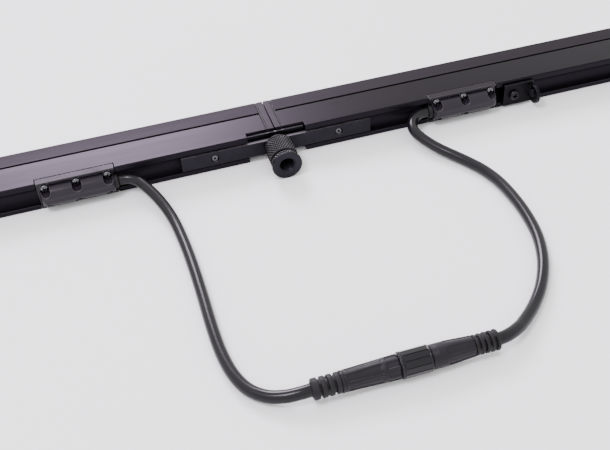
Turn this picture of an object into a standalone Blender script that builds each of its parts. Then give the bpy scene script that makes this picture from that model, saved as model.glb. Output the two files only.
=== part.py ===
"""Linked pair of half-metre LED strip battens, end to end, with their data and power link cable.

Frame: +X runs along the battens, +Z is up, the light leaves towards +Y and the rear channel faces -Y.
Each batten lies on one of its wide sides, on the surface at Z = 0. Sections are drawn as (y, z) pairs
measured from the batten's own middle plane (y) and from the surface it lies on (z). Turned profiles are
(distance along the axis, radius) pairs.
"""
import math

import bmesh
import bpy
from mathutils import Matrix, Vector

MM = 0.001
GAP = 0.3 * MM                      # clearance between neighbouring solids
OVER = 2 * MM                       # how far a cutter runs past the face it starts from
SINK = 0.5 * MM                     # how far a joined shape reaches into its base

# Batten
LENGTH = 500 * MM                   # one batten, joint face to far face
HEIGHT = 19 * MM                    # narrow side, the width of the light
DEPTH = 36 * MM                     # wide side, from rear channel to lens
MID_Z = HEIGHT / 2
BACK = -DEPTH / 2
FRONT = DEPTH / 2
JOINT_GAP = 0.7 * MM                # daylight between the two end caps
CAP_THICK = 3.8 * MM
GASKET_THICK = 0.7 * MM
EDGE_ROUND = 0.9 * MM

# Rear channel and rear body
COVE_HALF = 6.1 * MM                # half the mouth of the channel
COVE_DEPTH = 7.0 * MM
WALL = 2.2 * MM
CHAMBER_BACK = -8.8 * MM            # rear wall of the driver chamber
BODY_FRONT = 4.1 * MM               # where the rear body stops, at the parting groove
GROOVE_WIDTH = 1.6 * MM

# Front frame and light engine
FRAME_BACK = BODY_FRONT + GROOVE_WIDTH
FRAME_WEB = 3.0 * MM
FRAME_WALL = 2.4 * MM
TONGUE_DEPTH = 4.5 * MM
TONGUE_THICK = 1.5 * MM
LENS_BACK = 13.9 * MM
LENS_RISE = 1.1 * MM                # how far the lens is domed
LENS_LIP = (1.0 * MM, 1.2 * MM)     # rib that carries the lens: its thickness and height
BOARD_THICK = 1.6 * MM
BOARD_EDGE = 3.2 * MM               # from a wide side to the LED board's edge
LED_PITCH = 16.25 * MM
LED_COUNT = 29
LED_SIZE = 5.0 * MM
LED_HEIGHT = 1.5 * MM
DRIVER_Y = -5.0 * MM
DRIVER_X = (165 * MM, 335 * MM)
DRIVER_EDGE = 2.6 * MM
DRIVER_PART_EDGE = 5.0 * MM
DRIVER_PARTS = ((182, 20, 4.0), (214, 12, 3.2), (246, 24, 4.4), (284, 10, 2.4), (312, 18, 3.8))

# Joint: notches in the channel flanges, key plate, splice plate
NOTCH_DEPTH = 5.0 * MM
NOTCH_HALF = 18.6 * MM
NOTCH_Y = BACK + NOTCH_DEPTH
SPLICE_HALF = 61.0 * MM
SPLICE_HALF_HEIGHT = 4.8 * MM
SPLICE_THICK = 2.6 * MM
SPLICE_PROUD = 0.8 * MM
SPLICE_SCREW_X = 40.0 * MM
SPLICE_SCREW_R = 1.4 * MM
SPLICE_HOLE_R = 1.75 * MM
SPLICE_SINK_R = 2.5 * MM            # counterbore for the screw's head
SPACER_R = 3.0 * MM
SPACER_LENGTH = 3.6 * MM
KEY_THICK = 1.4 * MM
KEY_HALF_HEIGHT = 7.5 * MM
KEY_END_CLEAR = 0.4 * MM

# Knurled coupler on its draw stud
COUPLER_OUT = 23.0 * MM             # how far it stands out of the channel flanges
COUPLER_R = 9.1 * MM                # over the knurl
COUPLER_END_R = 9.4 * MM            # smooth lip at the free end
COUPLER_BORE_R = 4.9 * MM
COUPLER_BORE_DEPTH = 12.0 * MM
COUPLER_GROOVE = (4.6 * MM, 5.7 * MM)   # the groove's span, back from the end face
STUD_R = 3.0 * MM
STUD_COLLAR_R = 4.2 * MM
STUD_COLLAR = 0.8 * MM
STUD_WAY_R = 3.4 * MM               # holes that the stud passes through
WASHER_THICK = 1.0 * MM
WASHER_R = 8.5 * MM

# Gland boxes
BOX_NEAR = 101.0 * MM
BOX_LENGTH = 46.5 * MM
BOX_BULGE_R = 6.8 * MM
BOX_BULGE_Y = BACK - 0.3 * MM
BOX_LEDGE_Y = BACK + 1.2 * MM       # the ledge that the screw heads sit on
BOX_LIP = 1.7 * MM                  # thickness of the strips that lie flush with the wide sides
BOX_SCREW_INSET = 4.6 * MM
BOX_SCREW_Z = (3.7 * MM, 15.3 * MM)
BOX_END_CLEAR = 0.45 * MM
POCKET_R = 2.95 * MM
GLAND_SCREW_R = 1.0 * MM
GLAND_HEAD_R = 2.5 * MM
GLAND_HEAD_OUT = 3.3 * MM           # pan head with its captive washer
GLAND_Y = BACK - 0.5 * MM           # axis of the cable's way out
GROMMET_R = 4.6 * MM
GROMMET_OUT = 1.2 * MM
GROMMET_IN = 2.6 * MM

# Safety eye
EYE_BASE_X = (152.5 * MM, 173.3 * MM)
EYE_EDGE = 1.8 * MM                 # from a wide side to the bracket's edge
EYE_SCREW_X = 159.5 * MM
EYE_SCREW_R = 1.9 * MM
EYE_PLATE = 2.2 * MM
EYE_R = 6.1 * MM
EYE_HOLE_R = 3.1 * MM
EYE_OUT = 6.5 * MM                  # ring centre, out from the channel flanges

# Radii of the drilled holes
CABLE_WAY_R = 2.6 * MM
SMALL_PILOT_R = 1.35 * MM
SPLICE_PILOT_R = 1.75 * MM
EYE_PILOT_R = 2.2 * MM
CAP_PILOT_LENGTH = 14 * MM

# Cable and connector
CABLE_R = 3.3 * MM
END_STUB = 1.2 * MM                 # straight start that keeps a cable's end face square
CONNECTOR_Y = -194.0 * MM
CONNECTOR_Z = 7.1 * MM
PLUG_BOOT_X = (-34.8 * MM, -21.1 * MM)
PLUG_BODY_X = (-20.8 * MM, 8.1 * MM)
NUT_X = (8.5 * MM, 24.1 * MM)
SOCKET_BODY_X = (24.5 * MM, 46.7 * MM)
SOCKET_BOOT_X = (47.0 * MM, 59.6 * MM)
NOSE_R = 5.0 * MM                   # both halves' noses, inside the coupling nut
NOSE_BORE_R = 3.5 * MM
PLUG_NOSE = 7.0 * MM
SOCKET_NOSE = 6.6 * MM

# The origin stands under the middle of the object without its cable.
BATTEN_Y = COUPLER_OUT / 2

# Section positions of the three screws of an end cap
CAP_SCREWS = [(-10.8 * MM, 3.3 * MM), (-10.8 * MM, 15.7 * MM), (7.2 * MM, MID_Z)]
BOX_STARTS = (BOX_NEAR, LENGTH - BOX_NEAR - BOX_LENGTH)

# Hand-laid cable routes in millimetres: gland first, connector boot last.
PLUG_ROUTE = [
    (-99.5, -7.0, 9.5), (-98.2, -7.0, 9.5), (-94.6, -7.5, 9.5), (-91.2, -9.2, 9.4), (-88.4, -12.0, 9.1),
    (-85.8, -16.3, 8.5), (-82.4, -23.0, 7.4), (-79.3, -30.4, 6.2), (-76.4, -39.5, 5.0), (-74.2, -50.0, 4.1),
    (-72.8, -62.0, 3.6), (-71.7, -77.0, 3.4), (-71.1, -95.0, 3.4), (-70.9, -115.0, 3.4), (-70.9, -137.0, 3.4),
    (-70.1, -155.0, 3.4), (-67.6, -170.0, 3.4), (-62.8, -181.2, 3.5), (-55.6, -188.6, 4.2),
    (-47.6, -192.5, 5.6), (-40.6, -193.9, 6.8), (-36.4, -194.0, 7.1), (-35.1, -194.0, 7.1),
]
SOCKET_ROUTE = [
    (99.5, -7.0, 9.5), (98.2, -7.0, 9.5), (94.6, -7.5, 9.5), (91.1, -9.1, 9.4), (88.0, -12.0, 9.1),
    (85.9, -16.2, 8.6), (85.2, -21.4, 7.9), (86.8, -26.8, 7.0), (90.0, -33.2, 5.9), (94.8, -40.8, 4.8),
    (100.6, -48.6, 4.0), (106.4, -57.2, 3.5), (111.4, -66.8, 3.4), (115.2, -79.0, 3.4), (117.0, -94.0, 3.4),
    (117.0, -112.0, 3.4), (114.4, -131.0, 3.4), (108.2, -149.0, 3.4), (98.8, -165.0, 3.4),
    (88.0, -177.4, 3.8), (77.4, -186.6, 5.0), (71.6, -190.5, 6.1), (65.8, -193.1, 6.9),
    (61.2, -194.0, 7.1), (59.9, -194.0, 7.1),
]

COLOURS = {
    "black_anodised": ((0.028, 0.026, 0.030), 0.38, 0.85),
    "black_moulded": ((0.030, 0.027, 0.029), 0.50, 0.0),
    "black_steel": ((0.020, 0.019, 0.023), 0.42, 0.80),
    "black_screw": ((0.030, 0.030, 0.032), 0.28, 0.90),
    "black_rubber": ((0.022, 0.020, 0.022), 0.60, 0.0),
    "cable_jacket": ((0.035, 0.030, 0.034), 0.42, 0.0),
    "opal_lens": ((0.80, 0.81, 0.82), 0.35, 0.0),
    "white_board": ((0.78, 0.79, 0.78), 0.45, 0.0),
    "green_board": ((0.02, 0.16, 0.06), 0.45, 0.0),
    "contact_plastic": ((0.02, 0.02, 0.02), 0.40, 0.0),
    "bright_steel": ((0.55, 0.55, 0.56), 0.30, 1.0),
}


def material(name):
    """One Principled material per name, made the first time it is asked for."""
    if name in bpy.data.materials:
        return bpy.data.materials[name]
    colour, roughness, metallic = COLOURS[name]
    made = bpy.data.materials.new(name)
    made.use_nodes = True
    shader = made.node_tree.nodes["Principled BSDF"]
    shader.inputs["Base Color"].default_value = (*colour, 1.0)
    shader.inputs["Roughness"].default_value = roughness
    shader.inputs["Metallic"].default_value = metallic
    return made


def add_object(name, bm, look, smooth=False, parent=None):
    """Turns a bmesh into a named object with outward faces and one material."""
    bmesh.ops.recalc_face_normals(bm, faces=bm.faces)
    mesh = bpy.data.meshes.new(name)
    bm.to_mesh(mesh)
    bm.free()
    if smooth:
        mesh.shade_smooth()
        mesh.set_sharp_from_angle(angle=math.radians(35))
    mesh.materials.append(material(look))
    made = bpy.data.objects.new(name, mesh)
    made.parent = parent
    bpy.context.scene.collection.objects.link(made)
    return made


def add_axis(name, place):
    """An empty that its children are drawn about."""
    empty = bpy.data.objects.new(name, None)
    empty.location = place
    bpy.context.scene.collection.objects.link(empty)
    return empty


def in_mm(profile):
    return [(along * MM, radius * MM) for along, radius in profile]


def prism(bm, outline, x0, x1):
    """Extrudes a (y, z) outline of the batten's section along X."""
    first = [bm.verts.new((x0, y, z)) for y, z in outline]
    last = [bm.verts.new((x1, y, z)) for y, z in outline]
    bm.faces.new(first)
    bm.faces.new(reversed(last))
    for i in range(len(outline)):
        j = (i + 1) % len(outline)
        bm.faces.new((first[j], first[i], last[i], last[j]))


def block(bm, low, high):
    """Adds a box between two corners."""
    outline = [(low[1], low[2]), (high[1], low[2]), (high[1], high[2]), (low[1], high[2])]
    prism(bm, outline, low[0], high[0])


def turned(bm, profile, centre, axis, segments):
    """Revolves a closed profile about an axis through centre."""
    turn = Vector((0, 0, 1)).rotation_difference(Vector(axis)).to_matrix().to_4x4()
    place = Matrix.Translation(centre) @ turn
    rings = []
    for along, radius in profile:
        if radius == 0:
            rings.append([bm.verts.new(place @ Vector((0, 0, along)))])
            continue
        angles = [2 * math.pi * (k + 0.5) / segments for k in range(segments)]
        spots = [Vector((radius * math.cos(a), radius * math.sin(a), along)) for a in angles]
        rings.append([bm.verts.new(place @ spot) for spot in spots])
    for ring, other in zip(rings, rings[1:] + rings[:1]):
        if len(ring) == 1 and len(other) == 1:
            continue
        for k in range(segments):
            n = (k + 1) % segments
            if len(ring) == 1:
                bm.faces.new((ring[0], other[k], other[n]))
            elif len(other) == 1:
                bm.faces.new((ring[k], other[0], ring[n]))
            else:
                bm.faces.new((ring[k], other[k], other[n], ring[n]))


def turned_object(name, profile, centre, axis, segments, look, parent):
    bm = bmesh.new()
    turned(bm, profile, centre, axis, segments)
    return add_object(name, bm, look, smooth=True, parent=parent)


def boolean(target, fill, name, operation):
    """Cuts from target, or joins to it, the solids that fill(bm) draws."""
    bm = bmesh.new()
    fill(bm)
    tool = add_object(name, bm, "contact_plastic", parent=target.parent)
    tool.hide_render = True
    tool.display_type = "WIRE"
    modifier = target.modifiers.new(name, "BOOLEAN")
    modifier.operation = operation
    modifier.solver = "EXACT"
    modifier.object = tool


def cut(target, fill, name):
    boolean(target, fill, name, "DIFFERENCE")


def join(target, fill, name):
    boolean(target, fill, name, "UNION")


def rod(bm, centre, axis, radius, length, segments=16):
    """A plain cylinder from centre along axis."""
    turned(bm, [(0, 0), (0, radius), (length, radius), (length, 0)], centre, axis, segments)


def arc(centre, radii, start, stop, steps):
    """Points on an ellipse, angles in degrees."""
    points = []
    for k in range(steps + 1):
        angle = math.radians(start + (stop - start) * k / steps)
        points.append((centre[0] + radii[0] * math.cos(angle), centre[1] + radii[1] * math.sin(angle)))
    return points


def mirrored(outline):
    """The same outline about the section's middle height, in reverse order."""
    return [(y, HEIGHT - z) for y, z in reversed(outline)]


def cove(back, steps):
    """The rear channel's surface, bottom to top, from where it meets the plane y = back."""
    open_angle = math.degrees(math.asin((back - BACK) / COVE_DEPTH))
    return arc((BACK, MID_Z), (COVE_DEPTH, COVE_HALF), -90 + open_angle, 90 - open_angle, steps)


def section_with_cove(back, front):
    """Rectangle from back to front with bevelled front corners and the channel cut into its rear."""
    outline = [(back, 0), (front - EDGE_ROUND, 0), (front, EDGE_ROUND)]
    outline += mirrored(outline)
    outline += reversed(cove(back, 10))
    return outline


def end_spans():
    """The X spans of cap and gasket at the joint end and at the far end, and of the body between."""
    start = JOINT_GAP / 2
    cap = (start, start + CAP_THICK)
    gasket = (cap[1] + GAP, cap[1] + GAP + GASKET_THICK)
    body = (gasket[1] + GAP, LENGTH - (gasket[1] + GAP) + start)
    flip = LENGTH + start
    return {
        "joint": (cap, gasket),
        "far": ((flip - cap[1], flip - cap[0]), (flip - gasket[1], flip - gasket[0])),
        "body": body,
    }


SPANS = end_spans()
BODY_X = SPANS["body"]


def rear_body(side, sign, parent):
    """Extrusion with the channel behind, the driver chamber in front of it and the flange notches."""
    outline = [(BACK, EDGE_ROUND), (BACK + EDGE_ROUND, 0), (BODY_FRONT, 0), (BODY_FRONT, WALL)]
    outline += [(CHAMBER_BACK, WALL)]
    outline += mirrored(outline)
    outline += reversed(cove(BACK, 12))
    bm = bmesh.new()
    prism(bm, outline, sign * BODY_X[0], sign * BODY_X[1])
    body = add_object("rear_body_" + side, bm, "black_anodised", parent=parent)
    cut(body, lambda bm: notches(bm, sign), "notch_cutter_" + side)
    cut(body, lambda bm: body_holes(bm, sign, side == "right"), "hole_cutter_" + side)


def notches(bm, sign):
    """Rectangular gaps in both channel flanges: at the two ends and under the gland boxes."""
    spans = [(0, NOTCH_HALF), (LENGTH - NOTCH_HALF, LENGTH + OVER)]
    for start in BOX_STARTS:
        spans.append((start - BOX_END_CLEAR, start + BOX_LENGTH + BOX_END_CLEAR))
    for x0, x1 in spans:
        block(bm, (sign * x0, BACK - OVER, -OVER), (sign * x1, NOTCH_Y, HEIGHT + OVER))


def body_holes(bm, sign, has_eye):
    """Screw holes and the cable ways into the driver chamber."""
    def drill(x, y, z, radius, depth, segments):
        rod(bm, (sign * x, y, z), (0, 1, 0), radius, depth, segments)

    for start in BOX_STARTS:
        drill(start + BOX_LENGTH / 2, NOTCH_Y - OVER, MID_Z, CABLE_WAY_R, 7 * MM, 12)
        for x in box_screw_xs(start):
            for z in BOX_SCREW_Z:
                drill(x, NOTCH_Y - OVER, z, SMALL_PILOT_R, 4.5 * MM, 8)
    for x in (SPLICE_SCREW_X, LENGTH - SPLICE_SCREW_X):
        drill(x, NOTCH_Y, MID_Z, SPLICE_PILOT_R, 5 * MM, 10)
    if has_eye:
        drill(EYE_SCREW_X, NOTCH_Y, MID_Z, EYE_PILOT_R, 5 * MM, 10)
    cap_pilots(bm, sign, CAP_SCREWS[:2])


def cap_pilots(bm, sign, places):
    """Holes for the end cap screws, through both ends of an extrusion."""
    for end_x in BODY_X:
        for y, z in places:
            start = (sign * (end_x - CAP_PILOT_LENGTH / 2), y, z)
            rod(bm, start, (sign, 0, 0), SMALL_PILOT_R, CAP_PILOT_LENGTH, 8)


def front_frame(side, sign, parent):
    """Extrusion that carries the light engine and hooks into the rear body with two tongues."""
    inner = FRAME_WALL
    lip_y = LENS_BACK - GAP
    lip_z = inner + LENS_LIP[1]
    outline = [(FRAME_BACK, 0), (FRONT - EDGE_ROUND, 0), (FRONT, EDGE_ROUND), (FRONT, inner)]
    outline += [(lip_y, inner), (lip_y, lip_z), (lip_y - LENS_LIP[0], lip_z), (lip_y - LENS_LIP[0], inner)]
    outline += [(FRAME_BACK + FRAME_WEB, inner)]
    outline += mirrored(outline)
    low = WALL + GAP
    tip = FRAME_BACK - TONGUE_DEPTH
    tongue = [(FRAME_BACK, low + TONGUE_THICK), (tip, low + TONGUE_THICK), (tip, low), (FRAME_BACK, low)]
    outline += mirrored(tongue) + tongue
    bm = bmesh.new()
    prism(bm, outline, sign * BODY_X[0], sign * BODY_X[1])
    frame = add_object("front_frame_" + side, bm, "black_anodised", parent=parent)
    cut(frame, lambda bm: cap_pilots(bm, sign, CAP_SCREWS[2:]), "frame_cutter_" + side)


def light_engine(side, sign, parent):
    """Lens strip and LED board with its LEDs."""
    half = MID_Z - FRAME_WALL - GAP
    dome = FRONT - LENS_RISE
    lens = [(LENS_BACK, MID_Z - half)]
    lens += arc((dome, MID_Z), (LENS_RISE, half), -90, 90, 8)
    lens += [(LENS_BACK, MID_Z + half)]
    bm = bmesh.new()
    prism(bm, lens, sign * BODY_X[0], sign * BODY_X[1])
    add_object("lens_" + side, bm, "opal_lens", parent=parent)

    board_back = FRAME_BACK + FRAME_WEB + GAP
    board_front = board_back + BOARD_THICK
    bm = bmesh.new()
    block(bm, (sign * (BODY_X[0] + MM), board_back, BOARD_EDGE),
          (sign * (BODY_X[1] - MM), board_front, HEIGHT - BOARD_EDGE))
    board = add_object("led_board_" + side, bm, "white_board", parent=parent)

    def leds(bm):
        half = LED_SIZE / 2
        first_x = (LENGTH - (LED_COUNT - 1) * LED_PITCH) / 2
        for k in range(LED_COUNT):
            x = sign * (first_x + k * LED_PITCH)
            block(bm, (x - half, board_front - SINK, MID_Z - half),
                  (x + half, board_front + LED_HEIGHT, MID_Z + half))

    join(board, leds, "led_guide_" + side)


def driver(side, sign, parent):
    """Driver board with its parts, in the rear chamber."""
    front = DRIVER_Y + BOARD_THICK
    bm = bmesh.new()
    block(bm, (sign * DRIVER_X[0], DRIVER_Y, DRIVER_EDGE), (sign * DRIVER_X[1], front, HEIGHT - DRIVER_EDGE))
    board = add_object("driver_board_" + side, bm, "green_board", parent=parent)

    def components(bm):
        for x, long, tall in DRIVER_PARTS:
            block(bm, (sign * x * MM, front - SINK, DRIVER_PART_EDGE),
                  (sign * (x + long) * MM, front + tall * MM, HEIGHT - DRIVER_PART_EDGE))

    join(board, components, "driver_guide_" + side)


def end_caps(side, sign, parent):
    """Cap and gasket at each end, drilled for three countersunk screws."""
    outline = section_with_cove(NOTCH_Y, FRONT)
    for place in ("joint", "far"):
        cap_x, gasket_x = SPANS[place]
        bm = bmesh.new()
        prism(bm, outline, sign * cap_x[0], sign * cap_x[1])
        cap = add_object("end_cap_" + place + "_" + side, bm, "black_anodised", parent=parent)
        cut(cap, lambda bm, x=cap_x, p=place: cap_holes(bm, sign, x, p), f"cap_cutter_{place}_{side}")
        bm = bmesh.new()
        prism(bm, outline, sign * gasket_x[0], sign * gasket_x[1])
        gasket = add_object("end_gasket_" + place + "_" + side, bm, "black_rubber", parent=parent)
        cut(gasket, lambda bm, x=gasket_x: gasket_holes(bm, sign, x), f"gasket_cutter_{place}_{side}")


def cap_holes(bm, sign, span, place):
    """Countersunk screw holes through a cap."""
    face = span[0] if place == "joint" else span[1]
    inward = sign if place == "joint" else -sign
    profile = in_mm([(-0.5, 0), (-0.5, 2.5), (0.2, 2.5), (1.6, 1.4), (5, 1.4), (5, 0)])
    for y, z in CAP_SCREWS:
        turned(bm, profile, (sign * face, y, z), (inward, 0, 0), 10)


def gasket_holes(bm, sign, span):
    for y, z in CAP_SCREWS:
        rod(bm, (sign * (span[0] - OVER), y, z), (sign, 0, 0), SMALL_PILOT_R, 2 * OVER + GASKET_THICK, 8)


def box_screw_xs(start):
    """The three screw positions along a gland box."""
    return (start + BOX_SCREW_INSET, start + BOX_LENGTH / 2, start + BOX_LENGTH - BOX_SCREW_INSET)


def gland_section():
    """Top and bottom strips flush with the wide sides, a set-back ledge, and the half-round bulge."""
    rear = NOTCH_Y - GAP
    reach = math.degrees(math.acos((BOX_LEDGE_Y - BOX_BULGE_Y) / BOX_BULGE_R))
    outline = [(rear, GAP), (BACK, GAP), (BACK, BOX_LIP), (BOX_LEDGE_Y, BOX_LIP)]
    outline += arc((BOX_BULGE_Y, MID_Z), (BOX_BULGE_R, BOX_BULGE_R), 360 - reach, reach, 10)
    outline += [(BOX_LEDGE_Y, HEIGHT - BOX_LIP), (BACK, HEIGHT - BOX_LIP)]
    outline += [(BACK, HEIGHT - GAP / 3), (rear, HEIGHT - GAP / 3)]
    return outline


def gland_boxes(side, sign, parent):
    """Moulded cable boxes let into the flanges, each with a grommet."""
    for place, start in zip(("joint", "far"), BOX_STARTS):
        end = start + BOX_LENGTH
        mouth, outward = (start, -sign) if place == "joint" else (end, sign)
        bm = bmesh.new()
        prism(bm, gland_section(), sign * start, sign * end)
        shell = add_object(f"gland_box_{place}_{side}", bm, "black_moulded", parent=parent)

        def pockets(bm, start=start):
            profile = [(-5.0 * MM, 0), (-5.0 * MM, SMALL_PILOT_R), (0, SMALL_PILOT_R)]
            profile += [(0, POCKET_R), (9.0 * MM, POCKET_R), (9.0 * MM, 0)]
            for x in box_screw_xs(start):
                for z in BOX_SCREW_Z:
                    turned(bm, profile, (sign * x, BOX_LEDGE_Y, z), (0, -1, 0), 12)

        def socket(bm, mouth=mouth, outward=outward):
            centre = (sign * mouth + outward * MM, GLAND_Y, MID_Z)
            rod(bm, centre, (-outward, 0, 0), GROMMET_R + GAP, MM + GROMMET_IN + 0.4 * MM)

        cut(shell, pockets, f"pocket_cutter_{place}_{side}")
        cut(shell, socket, f"socket_cutter_{place}_{side}")
        profile = [(-GROMMET_OUT, 0), (-GROMMET_OUT, GROMMET_R - 0.4 * MM), (-0.8 * MM, GROMMET_R)]
        profile += [(GROMMET_IN, GROMMET_R), (GROMMET_IN, 0)]
        turned_object(f"cable_grommet_{place}_{side}", profile, (sign * mouth, GLAND_Y, MID_Z),
                      (-outward, 0, 0), 16, "black_rubber", parent)


def gland_screws(side, sign, parent):
    """The six pan-head screws of the box beside the joint."""
    crown = (-GLAND_HEAD_OUT, 1.6 * MM)
    shoulder = (-GLAND_HEAD_OUT + 0.8 * MM, GLAND_HEAD_R)
    profile = [(-GLAND_HEAD_OUT, 0), crown, shoulder, (-GAP, GLAND_HEAD_R)]
    profile += [(-GAP, GLAND_SCREW_R), (5.8 * MM, GLAND_SCREW_R), (5.8 * MM, 0)]
    places = [(x, z) for z in BOX_SCREW_Z for x in box_screw_xs(BOX_NEAR)]
    for number, (x, z) in enumerate(places, 1):
        turned_object(f"gland_screw_{side}_{number}", profile, (sign * x, BOX_LEDGE_Y, z), (0, 1, 0), 10,
                      "black_screw", parent)


def splice(parent):
    """Splice plate with its spacers and screws."""
    face = BACK - SPLICE_PROUD
    back = face + SPLICE_THICK
    bm = bmesh.new()
    low, high = MID_Z - SPLICE_HALF_HEIGHT, MID_Z + SPLICE_HALF_HEIGHT
    block(bm, (-SPLICE_HALF, face, low), (SPLICE_HALF, back, high))
    plate = add_object("splice_plate", bm, "black_steel", parent=parent)
    screw_xs = (-SPLICE_SCREW_X, SPLICE_SCREW_X)

    def plate_holes(bm):
        rod(bm, (0, face - OVER, MID_Z), (0, 1, 0), STUD_WAY_R, SPLICE_THICK + 2 * OVER)
        floor = 1.6 * MM
        profile = [(-OVER, 0), (-OVER, SPLICE_SINK_R), (floor, SPLICE_SINK_R), (floor, SPLICE_HOLE_R)]
        profile += [(SPLICE_THICK + OVER, SPLICE_HOLE_R), (SPLICE_THICK + OVER, 0)]
        for x in screw_xs:
            turned(bm, profile, (x, face, MID_Z), (0, 1, 0), 16)

    cut(plate, plate_holes, "plate_cutter")
    spacer = [(GAP, SPLICE_HOLE_R), (GAP, SPACER_R), (GAP + SPACER_LENGTH, SPACER_R),
              (GAP + SPACER_LENGTH, SPLICE_HOLE_R)]
    head = in_mm([(0.4, 0), (0.4, 1.8), (0.7, 2.1), (1.3, 2.1)])
    screw = head + [(1.3 * MM, SPLICE_SCREW_R), (9.4 * MM, SPLICE_SCREW_R), (9.4 * MM, 0)]
    for side, x in zip(("left", "right"), screw_xs):
        turned_object("splice_spacer_" + side, spacer, (x, back, MID_Z), (0, 1, 0), 14,
                      "bright_steel", parent)
        turned_object("splice_screw_" + side, screw, (x, face, MID_Z), (0, 1, 0), 12,
                      "black_screw", parent)


def key_and_stud(parent):
    """Key plate in the bottom of the joint's notch and the draw stud that it holds."""
    back = NOTCH_Y - GAP
    front = back - KEY_THICK
    half = NOTCH_HALF - KEY_END_CLEAR
    bm = bmesh.new()
    block(bm, (-half, front, MID_Z - KEY_HALF_HEIGHT), (half, back, MID_Z + KEY_HALF_HEIGHT))
    key = add_object("key_plate", bm, "black_steel", parent=parent)
    cut(key, lambda bm: rod(bm, (0, front - OVER, MID_Z), (0, 1, 0), STUD_R + GAP, 5 * MM), "key_cutter")

    collar = front - GAP
    tip = BACK - COUPLER_OUT + COUPLER_BORE_DEPTH + 0.5 * MM
    profile = [(tip, 0), (tip, STUD_R - 0.5 * MM), (tip + 0.5 * MM, STUD_R), (collar - STUD_COLLAR, STUD_R)]
    profile += [(collar - STUD_COLLAR, STUD_COLLAR_R), (collar, STUD_COLLAR_R), (collar, STUD_R)]
    profile += [(back, STUD_R), (back, 0)]
    turned_object("draw_stud", profile, (0, 0, MID_Z), (0, 1, 0), 16, "bright_steel", parent)


def coupler():
    """Knurled sleeve that screws along the stud, and the captive thrust washer under it."""
    axis = add_axis("coupler_axis", (0.0, BATTEN_Y, MID_Z))
    washer = BACK - SPLICE_PROUD - GAP - WASHER_THICK
    profile = [(washer, STUD_WAY_R), (washer, WASHER_R), (washer + WASHER_THICK, WASHER_R)]
    profile += [(washer + WASHER_THICK, STUD_WAY_R)]
    turned_object("thrust_washer", profile, (0, 0, 0), (0, 1, 0), 24, "black_rubber", axis)
    base = washer - GAP
    end = BACK - COUPLER_OUT
    groove_out, groove_in = (end + depth for depth in COUPLER_GROOVE)
    bore_floor = end + COUPLER_BORE_DEPTH
    profile = [(base, STUD_WAY_R), (base, COUPLER_R - 0.5 * MM), (base - 0.5 * MM, COUPLER_R)]
    profile += [(groove_in, COUPLER_R), (groove_in, COUPLER_R - MM)]
    profile += [(groove_out, COUPLER_R - MM), (groove_out, COUPLER_R)]
    profile += [(end + 1.9 * MM, COUPLER_R), (end + 1.5 * MM, COUPLER_END_R)]
    profile += [(end + 0.5 * MM, COUPLER_END_R), (end, COUPLER_END_R - 0.5 * MM)]
    profile += [(end, COUPLER_BORE_R + 0.7 * MM), (end + 0.7 * MM, COUPLER_BORE_R)]
    profile += [(bore_floor, COUPLER_BORE_R), (bore_floor, STUD_WAY_R)]
    turned_object("coupler_sleeve", profile, (0, 0, 0), (0, 1, 0), 24, "black_steel", axis)


def safety_eye(parent):
    """Angle bracket across the channel flanges with an eyed ear, and its screw."""
    plate_back = BACK - GAP
    plate_front = plate_back - EYE_PLATE
    x0, x1 = EYE_BASE_X
    ear_x = x1 - EYE_PLATE
    low, high = EYE_EDGE, HEIGHT - EYE_EDGE
    bm = bmesh.new()
    block(bm, (x0, plate_front, low), (ear_x + 0.01 * MM, plate_back, high))
    base = add_object("safety_eye", bm, "black_steel", parent=parent)
    centre = (BACK - EYE_OUT, MID_Z)
    reach = math.degrees(math.acos((plate_front - centre[0]) / EYE_R))
    ear = [(plate_front, low), (plate_back, low), (plate_back, high), (plate_front, high)]
    ear += arc(centre, (EYE_R, EYE_R), reach, 360 - reach, 20)
    join(base, lambda bm: prism(bm, ear, ear_x, x1), "ear_guide")

    def eye_holes(bm):
        rod(bm, (ear_x - OVER, *centre), (1, 0, 0), EYE_HOLE_R, EYE_PLATE + 2 * OVER, 20)
        rod(bm, (EYE_SCREW_X, plate_front - OVER, MID_Z), (0, 1, 0), EYE_SCREW_R + 0.4 * MM, 6 * MM, 14)

    cut(base, eye_holes, "eye_cutter")
    head = in_mm([(-2.4, 0), (-2.4, 1.8), (-1.6, 3.1), (-0.3, 3.4)])
    profile = head + [(-GAP, EYE_SCREW_R), (11.0 * MM, EYE_SCREW_R), (11.0 * MM, 0)]
    turned_object("eye_screw", profile, (EYE_SCREW_X, plate_front, MID_Z), (0, 1, 0), 16,
                  "black_screw", parent)


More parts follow.
